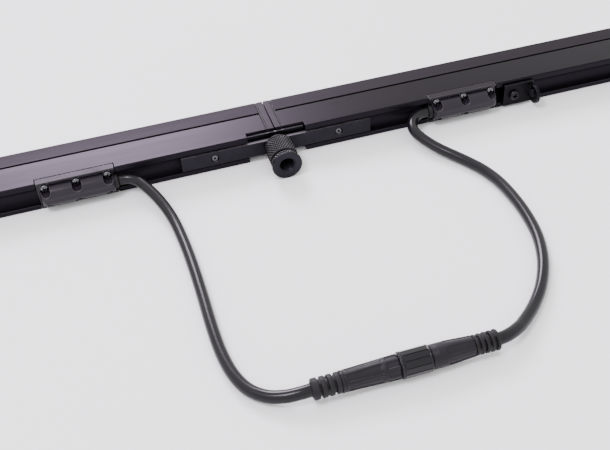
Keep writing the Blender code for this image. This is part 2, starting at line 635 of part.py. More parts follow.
def connector():
    """Mated cable connector: plug with boot, coupling nut, socket with boot, contacts and O-ring."""
    axis = add_axis("connector_axis", (0.0, CONNECTOR_Y, CONNECTOR_Z))

    def part(name, profile, segments, look):
        shaped = [(x, r * MM) for x, r in profile]
        turned_object(name, shaped, (0, 0, 0), (1, 0, 0), segments, look, axis)

    nose, bore = NOSE_R / MM, NOSE_BORE_R / MM
    x0, x1 = PLUG_BOOT_X
    part("plug_boot", [(x0, 0), (x0, 5.2), (x1, 5.4), (x1, 0)], 16, "black_rubber")
    x0, x1 = PLUG_BODY_X
    plug_tip = x1 + PLUG_NOSE
    part("plug_body", [(x0, 0), (x0, 5.6), (x1, 6.15), (x1, nose), (plug_tip, nose), (plug_tip, bore),
                       (x1 + MM, bore), (x1 + MM, 0)], 16, "black_moulded")
    x0, x1 = NUT_X
    part("coupling_nut", [(x0, 5.4), (x0, 6.5), (x0 + 0.4 * MM, 6.85), (x1 - 0.4 * MM, 6.85), (x1, 6.5),
                          (x1, 5.4)], 20, "black_moulded")
    x0, x1 = SOCKET_BODY_X
    socket_tip = x0 - SOCKET_NOSE
    part("socket_body", [(socket_tip, bore), (socket_tip, nose), (x0, nose), (x0, 6.2), (x0 + 8 * MM, 6.0),
                         (x1, 5.3), (x1, 0), (x0 - 2 * MM, 0), (x0 - 2 * MM, bore)], 16, "black_moulded")
    x0, x1 = SOCKET_BOOT_X
    part("socket_boot", [(x0, 0), (x0, 5.4), (x1, 5.2), (x1, 0)], 16, "black_rubber")
    low = PLUG_BODY_X[1] + MM + GAP
    high = SOCKET_BODY_X[0] - 2 * MM - GAP
    insert_r = bore - GAP / MM
    part("contact_insert", [(low, 0), (low, insert_r), (high, insert_r), (high, 0)], 14, "contact_plastic")
    middle = (plug_tip + socket_tip) / 2
    half = 0.9 * MM
    part("o_ring", [(middle - half, 4.0), (middle - half, 4.8), (middle + half, 4.8), (middle + half, 4.0)],
         16, "black_rubber")


def smooth_route(points, spacing):
    """Catmull-Rom curve through the hand-laid points, read at even steps, with a short stub at each end
    that keeps the end faces square to the gland and the boot."""
    knots = [Vector(p) * MM for p in points]
    ends = [2 * knots[0] - knots[1]] + knots + [2 * knots[-1] - knots[-2]]
    fine = []
    steps = 24
    for i in range(1, len(ends) - 2):
        a, b, c, d = ends[i - 1:i + 3]
        for k in range(steps):
            t = k / steps
            fine.append(0.5 * (2 * b + (c - a) * t + (2 * a - 5 * b + 4 * c - d) * t ** 2
                               + (3 * b - a - 3 * c + d) * t ** 3))
    fine.append(knots[-1])
    lengths = [0.0]
    for a, b in zip(fine, fine[1:]):
        lengths.append(lengths[-1] + (b - a).length)
    total = lengths[-1]
    count = round(total / spacing)
    stops = [0.0, END_STUB] + [total * k / count for k in range(1, count)] + [total - END_STUB, total]
    read = []
    j = 0
    for want in stops:
        while j < len(lengths) - 2 and lengths[j + 1] < want:
            j += 1
        share = (want - lengths[j]) / (lengths[j + 1] - lengths[j])
        read.append(fine[j].lerp(fine[j + 1], min(1.0, max(0.0, share))))
    return read


def cable(name, points):
    """One cable as a round tube along its route."""
    route = smooth_route(points, 2 * CABLE_R * 1.15)
    curve = bpy.data.curves.new(name, "CURVE")
    curve.dimensions = "3D"
    curve.bevel_depth = CABLE_R
    curve.bevel_resolution = 3
    curve.use_fill_caps = True
    spline = curve.splines.new("POLY")
    spline.points.add(len(route) - 1)
    for point, place in zip(spline.points, route):
        point.co = (*place, 1.0)
    curve.materials.append(material("cable_jacket"))
    bpy.context.scene.collection.objects.link(bpy.data.objects.new(name, curve))


def main():
    for old in list(bpy.data.objects):
        bpy.data.objects.remove(old)
    for side, sign in (("left", -1), ("right", 1)):
        parent = add_axis("batten_" + side, (0.0, BATTEN_Y, 0.0))
        rear_body(side, sign, parent)
        front_frame(side, sign, parent)
        light_engine(side, sign, parent)
        driver(side, sign, parent)
        end_caps(side, sign, parent)
        gland_boxes(side, sign, parent)
        gland_screws(side, sign, parent)
    safety_eye(parent)
    splice(parent)
    key_and_stud(parent)
    coupler()
    connector()
    cable("cable_plug_side", PLUG_ROUTE)
    cable("cable_socket_side", SOCKET_ROUTE)


main()
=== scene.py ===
"""Looks of the linked LED battens: detailed pieces, procedural materials, camera and studio light.

Everything is in the frame of the CAD model, in metres. Sections are (y, z) pairs measured from a batten's
own middle plane and from the surface that it lies on, in millimetres, and a turned profile is a list of
(distance along the axis, radius) pairs.
"""
import math

import bmesh
import bpy
from mathutils import Matrix, Vector


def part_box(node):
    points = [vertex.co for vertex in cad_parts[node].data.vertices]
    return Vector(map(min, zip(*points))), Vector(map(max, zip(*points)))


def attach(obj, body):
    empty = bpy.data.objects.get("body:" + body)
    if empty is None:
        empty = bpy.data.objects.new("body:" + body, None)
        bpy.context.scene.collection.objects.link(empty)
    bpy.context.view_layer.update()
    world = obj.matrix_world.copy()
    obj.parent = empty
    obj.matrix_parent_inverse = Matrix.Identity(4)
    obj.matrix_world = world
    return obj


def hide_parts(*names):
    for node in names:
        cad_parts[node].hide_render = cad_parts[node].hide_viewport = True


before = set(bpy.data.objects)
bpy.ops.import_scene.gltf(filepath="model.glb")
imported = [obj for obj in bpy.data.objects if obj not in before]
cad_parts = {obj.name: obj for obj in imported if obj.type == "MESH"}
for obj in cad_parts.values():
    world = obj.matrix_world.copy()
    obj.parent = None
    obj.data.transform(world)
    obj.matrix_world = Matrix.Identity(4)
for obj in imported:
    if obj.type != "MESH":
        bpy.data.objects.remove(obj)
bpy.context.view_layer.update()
scene = bpy.context.scene

MM = 0.001
TURN = 2 * math.pi
SIDES = (("left", -1), ("right", 1))
PLACES = ("joint", "far")

# Section of a batten, read from the frame where a node gives it
body_low, body_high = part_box("rear_body_right")
frame_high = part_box("front_frame_right")[1]
DEPTH = (frame_high.y - body_low.y) / MM
BACK, FRONT = -DEPTH / 2, DEPTH / 2
BATTEN_Y = (frame_high.y + body_low.y) / 2
HEIGHT = body_high.z / MM
MID_Z = HEIGHT / 2
BODY_X = (body_low.x / MM, body_high.x / MM)
BODY_FRONT = (body_high.y - BATTEN_Y) / MM
WALL = 2.2
CHAMBER_BACK = -8.8
PARTING_GROOVE = 1.6
FRAME_BACK = BODY_FRONT + PARTING_GROOVE
EDGE_ROUND = 0.9
COVE_DEPTH = 7.0
COVE_HALF = 6.1
NOTCH_DEPTH = 5.0
NOTCH_HALF = 18.6
NOTCH_Y = BACK + NOTCH_DEPTH
BATTEN_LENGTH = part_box("end_cap_far_right")[1].x / MM
SPLICE_SCREW_X = 40.0
BOX_LEDGE_Y = BACK + 1.2
CABLE_R = 3.3
CAP_SCREWS = ((-10.8, 3.3), (-10.8, 15.7), (7.2, MID_Z))

# Cable routes, in millimetres: gland first, connector boot last
PLUG_ROUTE = [
    (-99.5, -7.0, 9.5), (-98.2, -7.0, 9.5), (-94.6, -7.5, 9.5), (-91.2, -9.2, 9.4), (-88.4, -12.0, 9.1),
    (-85.8, -16.3, 8.5), (-82.4, -23.0, 7.4), (-79.3, -30.4, 6.2), (-76.4, -39.5, 5.0), (-74.2, -50.0, 4.1),
    (-72.8, -62.0, 3.6), (-71.7, -77.0, 3.4), (-71.1, -95.0, 3.4), (-70.9, -115.0, 3.4),
    (-70.9, -137.0, 3.4), (-70.1, -155.0, 3.4), (-67.6, -170.0, 3.4), (-62.8, -181.2, 3.5),
    (-55.6, -188.6, 4.2), (-47.6, -192.5, 5.6), (-40.6, -193.9, 6.8), (-36.4, -194.0, 7.1),
    (-35.1, -194.0, 7.1),
]
SOCKET_ROUTE = [
    (99.5, -7.0, 9.5), (98.2, -7.0, 9.5), (94.6, -7.5, 9.5), (91.1, -9.1, 9.4), (88.0, -12.0, 9.1),
    (85.9, -16.2, 8.6), (85.2, -21.4, 7.9), (86.8, -26.8, 7.0), (90.0, -33.2, 5.9), (94.8, -40.8, 4.8),
    (100.6, -48.6, 4.0), (106.4, -57.2, 3.5), (111.4, -66.8, 3.4), (115.2, -79.0, 3.4), (117.0, -94.0, 3.4),
    (117.0, -112.0, 3.4), (114.4, -131.0, 3.4), (108.2, -149.0, 3.4), (98.8, -165.0, 3.4),
    (88.0, -177.4, 3.8), (77.4, -186.6, 5.0), (71.6, -190.5, 6.1), (65.8, -193.1, 6.9),
    (61.2, -194.0, 7.1), (59.9, -194.0, 7.1),
]


# Camera

def add_camera():
    """Slightly from the left, 42 degrees above the surface, rolled as the photographer held it."""
    azimuth, elevation, roll = -13.92, 41.79, -4.06
    data = bpy.data.cameras.new("camera")
    data.sensor_width = 36.0
    data.lens = 53.61
    data.clip_start, data.clip_end = 0.01, 50.0
    camera = bpy.data.objects.new("camera", data)
    turn = Matrix.Rotation(math.radians(azimuth), 4, "Z")
    tilt = Matrix.Rotation(math.radians(90 - elevation), 4, "X")
    bank = Matrix.Rotation(math.radians(roll), 4, "Z")
    camera.matrix_world = Matrix.Translation((-0.0967, -0.4527, 0.3485)) @ turn @ tilt @ bank
    scene.collection.objects.link(camera)
    scene.camera = camera


# Materials

def node(tree, kind, **values):
    """Adds a shader node; a value named like an input is set on it, any other on the node itself."""
    made = tree.nodes.new(kind)
    for name, value in values.items():
        title = name.replace("_", " ")
        if title in made.inputs:
            made.inputs[title].default_value = value
        else:
            setattr(made, name, value)
    return made


def noise(tree, stretch, scale, detail=4.0, rough=0.55):
    """Noise in the object's own coordinates, stretched by a factor for each axis."""
    link = tree.links.new
    where = tree.nodes.new("ShaderNodeTexCoord")
    mapping = node(tree, "ShaderNodeMapping", Scale=stretch)
    made = node(tree, "ShaderNodeTexNoise", Scale=scale, Detail=detail, Roughness=rough)
    link(where.outputs["Object"], mapping.inputs["Vector"])
    link(mapping.outputs["Vector"], made.inputs["Vector"])
    return made.outputs["Fac"]


def spread(tree, source, low, high, start=0.3, stop=0.7):
    """Maps a noise to a range of values."""
    made = node(tree, "ShaderNodeMapRange")
    for name, value in (("From Min", start), ("From Max", stop), ("To Min", low), ("To Max", high)):
        made.inputs[name].default_value = value
    tree.links.new(source, made.inputs["Value"])
    return made.outputs["Result"]


def blend_colours(tree, factor, first, second):
    """Mixes two colours. The node has sockets of one name for each data type, so they are told by type."""
    made = tree.nodes.new("ShaderNodeMix")
    made.data_type = "RGBA"
    ends = {"A": first, "B": second}
    for socket in made.inputs:
        if socket.type == "RGBA":
            socket.default_value = (*ends[socket.name], 1.0)
    tree.links.new(factor, made.inputs[0])
    return [socket for socket in made.outputs if socket.type == "RGBA"][0]


def surface(name, dark, light, roughness, metallic=0.0, grain=(1, 1, 1), grain_scale=900.0,
            grain_depth=0.02, patch_scale=25.0, specular=0.5):
    """One procedural finish: patchy colour, patchy roughness and a fine grain in the bump."""
    made = bpy.data.materials.new(name)
    made.use_nodes = True
    tree = made.node_tree
    link = tree.links.new
    shader = tree.nodes["Principled BSDF"]
    shader.inputs["Metallic"].default_value = metallic
    shader.inputs["Specular IOR Level"].default_value = specular
    patches = noise(tree, grain, patch_scale)
    fine = noise(tree, grain, grain_scale, detail=6.0, rough=0.65)
    link(blend_colours(tree, spread(tree, patches, 0.0, 1.0), dark, light), shader.inputs["Base Color"])
    rough = node(tree, "ShaderNodeMath", operation="ADD")
    link(spread(tree, patches, roughness[0], roughness[1]), rough.inputs[0])
    link(spread(tree, fine, -0.03, 0.03), rough.inputs[1])
    link(rough.outputs["Value"], shader.inputs["Roughness"])
    bump = node(tree, "ShaderNodeBump", Distance=grain_depth * MM)
    bump.inputs["Strength"].default_value = 1.0
    link(fine, bump.inputs["Height"])
    link(bump.outputs["Normal"], shader.inputs["Normal"])
    return made


# How the grain is stretched: drawn out along a batten by the extrusion die, or the same each way
ALONG = (0.02, 1.0, 1.0)
ROUND = (1.0, 1.0, 1.0)

# Name, dark and light colour, roughness from and to, metallic, grain, its scale and depth (mm), patch scale
LOOKS = {
    "anodised": surface("anodised", (0.0084, 0.0062, 0.0092), (0.0099, 0.0075, 0.0109), (0.33, 0.41), 1.0,
                        ALONG, 1500.0, 0.006, 60.0),
    "anodised_front": surface("anodised_front", (0.0126, 0.0096, 0.0132), (0.0150, 0.0115, 0.0157),
                              (0.50, 0.58), 1.0, ALONG, 1500.0, 0.008, 60.0),
    # Painted shading: a copy of the anodised finish, toned for how the narrow sides and the cove catch the
    # light
    "anodised_side_painted_shading": surface("anodised_side_painted_shading", (0.0120, 0.0102, 0.0140), (0.0150, 0.0128, 0.0175),
                             (0.40, 0.48), 1.0, ALONG, 1500.0, 0.006, 60.0),
    "anodised_cap": surface("anodised_cap", (0.0170, 0.0138, 0.0175), (0.0198, 0.0160, 0.0204),
                            (0.46, 0.54), 1.0, ROUND, 1800.0, 0.010, 120.0),
    "anodised_edge": surface("anodised_edge", (0.022, 0.019, 0.023), (0.036, 0.031, 0.037), (0.34, 0.44),
                             1.0, ALONG, 1200.0, 0.004, 300.0),
    "moulded": surface("moulded", (0.0104, 0.0076, 0.0124), (0.0132, 0.0099, 0.0154), (0.18, 0.25), 0.0,
                       ROUND, 2600.0, 0.025, 60.0, specular=0.22),
    "strip": surface("strip", (0.0140, 0.0112, 0.0148), (0.0165, 0.0132, 0.0174), (0.42, 0.50), 0.9,
                     ROUND, 2200.0, 0.015, 90.0, specular=0.3),
    "moulded_edge": surface("moulded_edge", (0.018, 0.016, 0.019), (0.028, 0.025, 0.030), (0.26, 0.34), 0.0,
                            ROUND, 2600.0, 0.015, 60.0, specular=0.30),
    "moulded_shell": surface("moulded_shell", (0.0058, 0.0044, 0.0072), (0.0086, 0.0068, 0.0105),
                             (0.36, 0.44), 0.0, ROUND, 2600.0, 0.020, 60.0, specular=0.19),
    "gloss_nut": surface("gloss_nut", (0.0028, 0.0022, 0.0036), (0.0046, 0.0038, 0.0058), (0.10, 0.16), 0.0,
                         ROUND, 2000.0, 0.006, 80.0, specular=0.25),
    "steel": surface("steel", (0.0160, 0.0150, 0.0192), (0.0215, 0.0200, 0.0252), (0.38, 0.46), 1.0,
                     ROUND, 1600.0, 0.012, 90.0),
    "steel_dark": surface("steel_dark", (0.0080, 0.0074, 0.0088), (0.0125, 0.0115, 0.0135), (0.40, 0.50),
                          1.0, ROUND, 1600.0, 0.012, 90.0),
    # Painted light: a much lighter copy of the steel for the plates' narrow top faces
    "steel_painted_top_light": surface("steel_painted_top_light", (0.150, 0.135, 0.156), (0.185, 0.168, 0.192), (0.50, 0.60), 1.0,
                         ROUND, 1600.0, 0.012, 90.0),
    "steel_edge": surface("steel_edge", (0.020, 0.018, 0.022), (0.032, 0.029, 0.035), (0.34, 0.42), 1.0,
                          ROUND, 1600.0, 0.008, 300.0),
    "knurl": surface("knurl", (0.105, 0.101, 0.106), (0.130, 0.126, 0.132), (0.28, 0.36), 1.0,
                     ROUND, 900.0, 0.003, 60.0),
    # Partly wear, partly painted glint: a much lighter steel for the knurl's diamond tips
    "knurl_tips_wear_and_glint": surface("knurl_tips_wear_and_glint", (0.36, 0.352, 0.36), (0.44, 0.432, 0.44), (0.20, 0.28), 1.0,
                          ROUND, 900.0, 0.003, 60.0),
    # Painted shade: near-black steel for the insides of screw recesses and the knurl's grooves
    "recess_shade": surface("recess_shade", (0.0040, 0.0038, 0.0044), (0.0060, 0.0057, 0.0066), (0.45, 0.55), 1.0,
                      ROUND, 900.0, 0.004, 300.0),
    "screw": surface("screw", (0.085, 0.084, 0.090), (0.110, 0.109, 0.116), (0.12, 0.18), 1.0,
                     ROUND, 1500.0, 0.004, 200.0),
    "rubber": surface("rubber", (0.0060, 0.0054, 0.0064), (0.0095, 0.0085, 0.0100), (0.44, 0.54), 0.0,
                      ROUND, 2200.0, 0.020, 120.0, specular=0.18),
    "jacket": surface("jacket", (0.0050, 0.0045, 0.0056), (0.0075, 0.0068, 0.0083), (0.21, 0.27), 0.0,
                      ROUND, 1400.0, 0.012, 45.0, specular=0.20),
    "opal": surface("opal", (0.78, 0.79, 0.80), (0.84, 0.85, 0.86), (0.28, 0.36), 0.0,
                    ALONG, 1200.0, 0.006, 40.0),
    "white_board": surface("white_board", (0.74, 0.75, 0.74), (0.80, 0.81, 0.80), (0.38, 0.48), 0.0,
                           ROUND, 1500.0, 0.010, 120.0),
    "green_board": surface("green_board", (0.015, 0.13, 0.05), (0.025, 0.18, 0.07), (0.36, 0.46), 0.0,
                           ROUND, 1500.0, 0.015, 200.0),
    "insert": surface("insert", (0.016, 0.016, 0.017), (0.024, 0.024, 0.025), (0.40, 0.50), 0.0,
                      ROUND, 2000.0, 0.015, 100.0),
    "bright_steel": surface("bright_steel", (0.42, 0.42, 0.43), (0.55, 0.55, 0.56), (0.22, 0.34), 1.0,
                            ROUND, 1200.0, 0.010, 300.0),
}


# Mesh helpers

ROUNDING_STEPS = 3
ROUNDED_FROM = 32                   # degrees between two faces


def add_object(name, bm):
    """Turns the bmesh into an object and frees it."""
    bmesh.ops.recalc_face_normals(bm, faces=bm.faces)
    mesh = bpy.data.meshes.new(name)
    bm.to_mesh(mesh)
    bm.free()
    made = bpy.data.objects.new(name, mesh)
    scene.collection.objects.link(made)
    return made


def apply_modifiers(obj):
    """Replaces the mesh by the result of its modifiers."""
    graph = bpy.context.evaluated_depsgraph_get()
    mesh = bpy.data.meshes.new_from_object(obj.evaluated_get(graph), depsgraph=graph)
    obj.modifiers.clear()
    old = obj.data
    obj.data = mesh
    bpy.data.meshes.remove(old)


def carve(obj, draw, operation="DIFFERENCE"):
    """Cuts from obj, or joins to it, the solids that draw(bm) makes."""
    bm = bmesh.new()
    draw(bm)
    tool = add_object("tool", bm)
    modifier = obj.modifiers.new("carve", "BOOLEAN")
    modifier.operation = operation
    modifier.solver = "EXACT"
    modifier.object = tool
    apply_modifiers(obj)
    bpy.data.objects.remove(tool)


def repaint(obj, look, chosen):
    """Gives the faces that chosen(polygon) picks another finish, unless they have one already."""
    obj.data.materials.append(LOOKS[look])
    number = len(obj.data.materials) - 1
    for face in obj.data.polygons:
        if face.material_index == 0 and chosen(face):
            face.material_index = number


def dress(obj, look, body="root", nodes=(), edge=None, round_by=0.0, sharp=50.0):
    """Rounds a piece's edges, shades it, gives it its finish and puts it on its body."""
    obj.data.materials.clear()
    obj.data.materials.append(LOOKS[look])
    if edge:
        obj.data.materials.append(LOOKS[edge])
    if round_by:
        modifier = obj.modifiers.new("edges", "BEVEL")
        modifier.width = round_by * MM
        modifier.segments = ROUNDING_STEPS
        modifier.limit_method = "ANGLE"
        modifier.angle_limit = math.radians(ROUNDED_FROM)
        modifier.use_clamp_overlap = False
        modifier.material = 1 if edge else 0
        apply_modifiers(obj)
    obj.data.shade_smooth()
    obj.data.set_sharp_from_angle(angle=math.radians(sharp))
    modifier = obj.modifiers.new("normals", "WEIGHTED_NORMAL")
    modifier.keep_sharp = True
    apply_modifiers(obj)
    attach(obj, body)
    if nodes:
        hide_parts(*nodes)
    return obj


def spot(x, y, z):
    """A point given in a batten's own millimetres, in the frame."""
    return Vector((x * MM, y * MM + BATTEN_Y, z * MM))


def prism(bm, outline, x0, x1):
    """Extrudes a section's outline along X."""
    first = [bm.verts.new(spot(x0, y, z)) for y, z in outline]
    last = [bm.verts.new(spot(x1, y, z)) for y, z in outline]
    bm.faces.new(first)
    bm.faces.new(reversed(last))
    for i in range(len(outline)):
        j = (i + 1) % len(outline)
        bm.faces.new((first[j], first[i], last[i], last[j]))


def block(bm, low, high):
    """Box between two corners in a batten's own millimetres."""
    outline = [(low[1], low[2]), (high[1], low[2]), (high[1], high[2]), (low[1], high[2])]
    prism(bm, outline, low[0], high[0])


def arc(centre, radii, start, stop, steps):
    """Points on an ellipse, angles in degrees."""
    angles = [math.radians(start + (stop - start) * k / steps) for k in range(steps + 1)]
    return [(centre[0] + radii[0] * math.cos(a), centre[1] + radii[1] * math.sin(a)) for a in angles]


def mirrored(outline):
    """The outline turned over about the batten's middle height, run the other way."""
    return [(y, HEIGHT - z) for y, z in reversed(outline)]


def axis_place(centre, axis):
    """Puts a turned shape's own Z on axis, starting at centre (frame, metres)."""
    turn = Vector((0, 0, 1)).rotation_difference(Vector(axis)).to_matrix().to_4x4()
    return Matrix.Translation(centre) @ turn


def turned(bm, rows, segments, place):
    """Revolves rows of (along, radius) into a closed solid; a radius may be a function of the angle."""
    rings = []
    for along, radius in rows:
        if not callable(radius) and radius == 0:
            rings.append([bm.verts.new(place @ Vector((0, 0, along * MM)))])
            continue
        ring = []
        for k in range(segments):
            angle = TURN * k / segments
            r = radius(angle) if callable(radius) else radius
            across = Vector((math.cos(angle), math.sin(angle), 0)) * r * MM
            ring.append(bm.verts.new(place @ (across + Vector((0, 0, along * MM)))))
        rings.append(ring)
    for ring, other in zip(rings, rings[1:] + rings[:1]):
        if len(ring) == 1 and len(other) == 1:
            continue
        for k in range(segments):
            n = (k + 1) % segments
            if len(ring) == 1:
                bm.faces.new((ring[0], other[k], other[n]))
            elif len(other) == 1:
                bm.faces.new((ring[k], other[0], ring[n]))
            else:
                bm.faces.new((ring[k], other[k], other[n], ring[n]))


def rod(bm, centre, axis, radius, length, segments=48):
    """Plain cylinder, starting at centre."""
    turned(bm, [(0, 0), (0, radius), (length, radius), (length, 0)], segments, axis_place(centre, axis))


def triangle(t):
    """Triangle wave: 1 at whole numbers, 0 half way between."""
    return abs((t % 1.0) * 2 - 1)


def smooth(t):
    """Soft step from 0 to 1."""
    t = min(1.0, max(0.0, t))
    return t * t * (3 - 2 * t)


def window(t, low, high, soft):
    """1 between low and high, with soft shoulders."""
    return smooth((t - low) / soft + 0.5) * smooth((high - t) / soft + 0.5)


# Battens

def cove(back, steps):
    """The concave rear channel, cut off at the depth given by back."""
    open_angle = math.degrees(math.asin((back - BACK) / COVE_DEPTH))
    return arc((BACK, MID_Z), (COVE_DEPTH, COVE_HALF), -90 + open_angle, 90 - open_angle, steps)


def corner(y, z, side_y, steps=5):
    """Quarter round at an outer corner of the section at z = 0; side_y points out."""
    centre = (y - side_y * EDGE_ROUND, z + EDGE_ROUND)
    if side_y > 0:
        return arc(centre, (EDGE_ROUND, EDGE_ROUND), -90, 0, steps)
    return arc(centre, (EDGE_ROUND, EDGE_ROUND), 180, 270, steps)


def rear_body(side, sign):
    """Rear extrusion, notched for the joint and the gland boxes."""
    over, box_clearance, far_hole_radius = 2.0, 0.45, 1.75
    outline = corner(BACK, 0, -1) + [(BODY_FRONT, 0), (BODY_FRONT, WALL), (CHAMBER_BACK, WALL)]
    outline += mirrored(outline)
    outline += reversed(cove(BACK, 36))
    bm = bmesh.new()
    prism(bm, outline, sign * BODY_X[0], sign * BODY_X[1])
    body = add_object("extrusion_rear_" + side, bm)

    def cuts(bm):
        spans = [(0, NOTCH_HALF), (BATTEN_LENGTH - NOTCH_HALF, BATTEN_LENGTH + over)]
        for place in PLACES:
            low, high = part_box(f"gland_box_{place}_right")
            spans.append((low.x / MM - box_clearance, high.x / MM + box_clearance))
        for x0, x1 in spans:
            block(bm, (sign * x0, BACK - over, -over), (sign * x1, NOTCH_Y, HEIGHT + over))

    def far_hole(bm):
        centre = spot(sign * (BATTEN_LENGTH - SPLICE_SCREW_X), NOTCH_Y, MID_Z)
        rod(bm, centre, (0, 1, 0), far_hole_radius, COVE_DEPTH - over)

    carve(body, cuts)
    carve(body, far_hole)
    dress(body, "anodised", nodes=["rear_body_" + side], edge="anodised_edge",
          round_by=0.18)
    rear_edge = spot(0, BACK + 0.3, 0).y
    cove_floor = spot(0, NOTCH_Y + COVE_DEPTH, 0).y

    def painted_side_faces(face):
        return abs(face.normal.z) < 0.5 or face.center.y < rear_edge

    def painted_cove_faces(face):
        return abs(face.center.z / MM - MID_Z) < COVE_HALF + 0.1 and face.center.y < cove_floor

    # The narrow sides, the back edge and the cove get that copy of the anodised finish: painted shading on
    # the same aluminium as the wide faces.
    repaint(body, "anodised_side_painted_shading", painted_side_faces)
    repaint(body, "anodised_side_painted_shading", painted_cove_faces)


def front_frame(side, sign):
    """Front extrusion: two limbs with a lip behind the lens, and tongues that reach into the rear body."""
    inner, lip, rib, web = 2.4, 1.2, 1.0, 3.0
    lens_back = 13.6
    outline = [(FRAME_BACK, 0)] + corner(FRONT, 0, 1)
    outline += [(FRONT, inner), (lens_back, inner), (lens_back, inner + lip)]
    outline += [(lens_back - rib, inner + lip), (lens_back - rib, inner), (FRAME_BACK + web, inner)]
    outline += mirrored(outline)
    low, thick, tip = WALL + 0.3, 1.5, FRAME_BACK - 4.5
    tongue = [(FRAME_BACK, low + thick), (tip, low + thick), (tip, low), (FRAME_BACK, low)]
    outline += mirrored(tongue) + tongue
    bm = bmesh.new()
    prism(bm, outline, sign * BODY_X[0], sign * BODY_X[1])
    piece = add_object("extrusion_front_" + side, bm)
    dress(piece, "anodised_front", nodes=["front_frame_" + side], edge="anodised_edge",
          round_by=0.15)


def lens(side, sign):
    """Opal strip, crowned at the front."""
    low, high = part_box("lens_" + side)
    half = (high.z - low.z) / MM / 2
    rise = 1.1
    back = (low.y - BATTEN_Y) / MM
    outline = [(back, MID_Z - half)] + arc((FRONT - rise, MID_Z), (rise, half), -90, 90, 24)
    outline += [(back, MID_Z + half)]
    bm = bmesh.new()
    prism(bm, outline, sign * BODY_X[0], sign * BODY_X[1])
    dress(add_object("lens_strip_" + side, bm), "opal", nodes=["lens_" + side], round_by=0.15)


def cap_screw_profile():
    """Countersunk head, its face at 0 and its shank running in."""
    return [(0.1, 0), (0.1, 2.05), (0.35, 2.15), (1.6, 1.15), (3.2, 1.15), (3.2, 0)]


def end_caps(side, sign):
    """The end plates of a batten, each with its three countersunk screws."""
    outline = [(NOTCH_Y, 0)] + corner(FRONT, 0, 1)
    outline += mirrored(outline)
    outline += reversed(cove(NOTCH_Y, 28))
    for place in PLACES:
        low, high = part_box(f"end_cap_{place}_{side}")
        x0, x1 = low.x / MM, high.x / MM
        inward = sign if place == "joint" else -sign
        face = x0 if inward > 0 else x1
        bm = bmesh.new()
        prism(bm, outline, x0, x1)
        cap = add_object(f"cap_{place}_{side}", bm)

        def holes(bm, face=face, inward=inward):
            profile = [(-0.5, 0), (-0.5, 2.5), (0.2, 2.5), (1.6, 1.3), (5, 1.3), (5, 0)]
            for y, z in CAP_SCREWS:
                turned(bm, profile, 40, axis_place(spot(face, y, z), (inward, 0, 0)))

        carve(cap, holes)
        dress(cap, "anodised_cap", nodes=[f"end_cap_{place}_{side}"],
              edge="anodised_edge", round_by=0.12)
        for number, (y, z) in enumerate(CAP_SCREWS, 1):
            cross_screw(f"cap_screw_{place}_{side}_{number}", spot(face, y, z), (inward, 0, 0),
                        cap_screw_profile(), 0.9, 0.1, 1.1)


# Fasteners

def cross_screw(name, centre, axis, profile, reach, top, depth, nodes=(), twist=0.6, look="screw"):
    """A turned screw whose own axis runs into the hole, with a cross recess in its head that is painted
    near-black as shade.

    The recess reaches out to reach and starts at top, the head's highest point.
    """
    place = axis_place(centre, axis) @ Matrix.Rotation(twist, 4, "Z")
    bm = bmesh.new()
    turned(bm, profile, 48, place)
    screw = add_object(name, bm)
    for turn in (0, math.pi / 2):
        spun = place @ Matrix.Rotation(turn, 4, "Z")
        carve(screw, lambda bm, spun=spun: blade(bm, spun, reach, top, depth))
    dress(screw, look, nodes=nodes, round_by=0.08)
    to_own = place.inverted()
    to_own_turn = place.to_3x3().inverted()

    def recess(face):
        at, facing = to_own @ face.center, to_own_turn @ face.normal
        wall = abs(facing.z) < 0.8
        bottom = at.z > (top + depth * 0.9) * MM
        return math.hypot(at.x, at.y) < reach * 1.1 * MM and (wall or bottom)

    # The recess's walls and bottom are painted near-black as shade.
    repaint(screw, "recess_shade", recess)
    return screw


def blade(bm, place, reach, top, depth):
    """One tapered blade of a cross recess."""
    mouth = (top - 0.8, reach * 1.2, reach * 0.32)
    bottom = (top + depth, reach * 0.5, reach * 0.2)
    rings = []
    for along, long, wide in (mouth, bottom):
        rings.append([bm.verts.new(place @ Vector((a * long * MM, b * wide * MM, along * MM)))
                      for a, b in ((-1, -1), (1, -1), (1, 1), (-1, 1))])
    first, last = rings
    bm.faces.new(first)
    bm.faces.new(reversed(last))
    for i in range(4):
        j = (i + 1) % 4
        bm.faces.new((first[j], first[i], last[i], last[j]))


def pan_head(radius, out, shank, length, seat=-0.2):
    """Pan head on its captive washer, standing out of the surface at 0, with its shank running in."""
    washer, straight = seat - 0.6, 0.55
    head = out + washer
    crown = arc((washer - head * straight, 0), (head * (1 - straight), radius), 90, 180, 10)
    rows = [(a, max(0.0, r)) for a, r in reversed(crown)]
    rows[0] = (rows[0][0], 0)
    rows += [(washer, radius), (washer, radius + 0.2), (seat, radius + 0.2)]
    return rows + [(seat, shank), (length, shank), (length, 0)]


# Gland boxes

def gland_base(bm, x0, x1):
    """Strips flush with the wide sides and the ledge set back between them."""
    rear, lip, under, over = NOTCH_Y - 0.3, 1.7, 0.3, 0.1
    outline = [(rear, under), (BACK, under), (BACK, lip), (BOX_LEDGE_Y, lip), (BOX_LEDGE_Y, HEIGHT - lip)]
    outline += [(BACK, HEIGHT - lip), (BACK, HEIGHT - over), (rear, HEIGHT - over)]
    prism(bm, outline, x0, x1)


